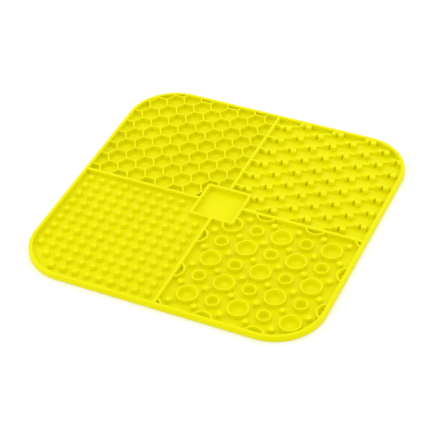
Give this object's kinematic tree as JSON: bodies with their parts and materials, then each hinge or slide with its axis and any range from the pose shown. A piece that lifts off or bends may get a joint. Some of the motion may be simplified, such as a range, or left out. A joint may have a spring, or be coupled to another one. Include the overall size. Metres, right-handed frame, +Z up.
{
  "type": "lick mat",
  "caption": "Square one-piece silicone lick mat with rounded corners, a raised rim and four relief fields that hold soft pet food.",
  "frame": {"origin": "middle of the flat underside, on the surface that the mat lies on", "axes": "+Z up out of the relief side, +X along the front edge to the right, +Y towards the back edge"},
  "size_m": [0.2, 0.2, 0.004],
  "materials": {
    "silicone": "smooth matt to satin moulded silicone, bright lemon yellow"
  },
  "bodies": {
    "root": {"mat": "silicone"}
  },
  "joints": []
}
